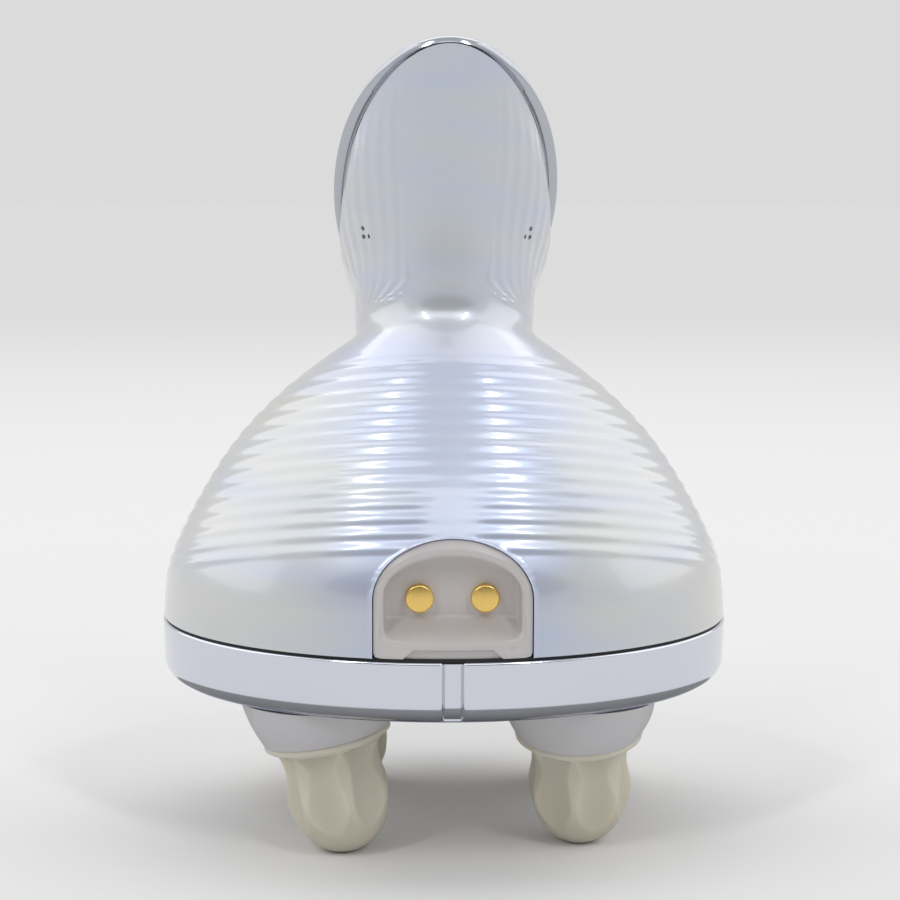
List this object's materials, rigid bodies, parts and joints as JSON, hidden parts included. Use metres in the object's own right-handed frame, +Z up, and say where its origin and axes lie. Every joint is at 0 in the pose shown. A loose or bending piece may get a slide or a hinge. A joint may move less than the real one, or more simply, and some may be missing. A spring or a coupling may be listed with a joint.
{
  "type": "electric scalp massager",
  "caption": "Hand-held scalp massager: a pearl bell with a waisted oval grip and push button, chrome band and rear charging bay, standing on fluted silicone heads on geared spindles.",
  "frame": {"origin": "on the floor under the middle of the base, level with the tips of the heads", "axes": "+Z up; +Y from the charging side towards the side that the oval face leans to; +X to the right as seen from the charging side"},
  "size_m": [0.1126, 0.0944, 0.1545],
  "materials": {
    "pearl_shell": "moulded plastic with a pearl lacquer",
    "bay_grey": "moulded, satin gloss",
    "contact_gold": "gold plated, polished",
    "gasket_black": "moulded",
    "chrome_trim": "bright chrome plate on plastic",
    "white_plastic": "moulded, glossy",
    "pearl_panel": "moulded plastic with a pearl lacquer",
    "light_diffuser": "milky translucent",
    "button_cap": "moulded, satin gloss",
    "silicone_cream": "soft translucent silicone",
    "gear_acetal": "moulded acetal",
    "shaft_steel": "ground",
    "screw_steel": "zinc plated",
    "motor_steel": "drawn and plated",
    "bearing_bronze": "sintered bronze",
    "seal_rubber": "moulded",
    "dark_nylon": "moulded",
    "board_green": "solder mask",
    "component_black": "moulded packages",
    "cell_wrap": "shrink wrap",
    "cable_sheath": "extruded"
  },
  "bodies": {
    "housing": {"outer_shell": "pearl_shell", "charging_bay": "bay_grey", "charge_contact_left": "contact_gold", "charge_contact_right": "contact_gold", "contact_board": "board_green", "seam_gasket": "gasket_black", "base_band": "chrome_trim", "base_plate": "white_plastic", "gear_plate": "dark_nylon", "lower_bushes": "bearing_bronze", "upper_bushes": "bearing_bronze", "shaft_seals": "seal_rubber", "sun_axle": "shaft_steel", "idler_axle": "shaft_steel", "motor_can": "motor_steel", "motor_end_cap": "dark_nylon", "gear_plate_screws": "screw_steel", "case_screws": "screw_steel", "motor_screws": "screw_steel", "battery_cell": "cell_wrap", "battery_cradle": "dark_nylon", "main_board": "board_green", "board_components": "component_black", "face_rim": "chrome_trim", "face_panel": "pearl_panel", "light_ring": "light_diffuser", "tact_switch": "dark_nylon", "button_board": "board_green", "button_cable": "cable_sheath", "charge_cable": "cable_sheath"},
    "sun_wheel": {"sun_gear": "gear_acetal"},
    "idler_wheel": {"idler_gear": "gear_acetal"},
    "motor_rotor": {"motor_shaft": "shaft_steel", "motor_pinion": "gear_acetal", "motor_armature": "motor_steel"},
    "button": {"power_button": "button_cap", "switch_plunger": "dark_nylon"},
    "rear_left_rotor": {"spindle_rear_left": "shaft_steel", "head_gear_rear_left": "gear_acetal", "rotor_dome_rear_left": "white_plastic", "massage_head_rear_left": "silicone_cream"},
    "rear_right_rotor": {"spindle_rear_right": "shaft_steel", "head_gear_rear_right": "gear_acetal", "rotor_dome_rear_right": "white_plastic", "massage_head_rear_right": "silicone_cream"},
    "front_left_rotor": {"spindle_front_left": "shaft_steel", "head_gear_front_left": "gear_acetal", "rotor_dome_front_left": "white_plastic", "massage_head_front_left": "silicone_cream"},
    "front_right_rotor": {"spindle_front_right": "shaft_steel", "head_gear_front_right": "gear_acetal", "rotor_dome_front_right": "white_plastic", "massage_head_front_right": "silicone_cream"}
  },
  "joints": [
    {"name": "sun_spin", "type": "hinge", "parent": "housing", "child": "sun_wheel", "pos_m": [0, 0, 0.04], "axis": [0, 0, 1], "continuous": true},
    {"name": "idler_spin", "type": "hinge", "parent": "housing", "child": "idler_wheel", "pos_m": [0, 0.0156, 0.05], "axis": [0, 0, 1], "continuous": true},
    {"name": "motor_spin", "type": "hinge", "parent": "housing", "child": "motor_rotor", "pos_m": [0, 0, 0.06], "axis": [0, 0, 1], "continuous": true},
    {"name": "rear_left_spin", "type": "hinge", "parent": "housing", "child": "rear_left_rotor", "pos_m": [-0.025, -0.02304, 0.03], "axis": [0, 0, 1], "continuous": true},
    {"name": "rear_right_spin", "type": "hinge", "parent": "housing", "child": "rear_right_rotor", "pos_m": [0.025, -0.02304, 0.03], "axis": [0, 0, 1], "continuous": true},
    {"name": "front_left_spin", "type": "hinge", "parent": "housing", "child": "front_left_rotor", "pos_m": [-0.025, 0.02304, 0.03], "axis": [0, 0, 1], "continuous": true},
    {"name": "front_right_spin", "type": "hinge", "parent": "housing", "child": "front_right_rotor", "pos_m": [0.025, 0.02304, 0.03], "axis": [0, 0, 1], "continuous": true},
    {"name": "button_press", "type": "slide", "parent": "housing", "child": "button", "axis": [0, -0.766, -0.6428], "range_m": [0, 0.0008], "stiffness_N_per_m": 1500, "springref_m": -0.0004}
  ],
  "couplings": [
    {"joint": "idler_spin", "follows": "sun_spin", "ratio": -1.6},
    {"joint": "motor_spin", "follows": "sun_spin", "ratio": 5.3333},
    {"joint": "rear_left_spin", "follows": "sun_spin", "ratio": -1.8333},
    {"joint": "rear_right_spin", "follows": "sun_spin", "ratio": -1.8333},
    {"joint": "front_left_spin", "follows": "sun_spin", "ratio": -1.8333},
    {"joint": "front_right_spin", "follows": "sun_spin", "ratio": -1.8333}
  ]
}
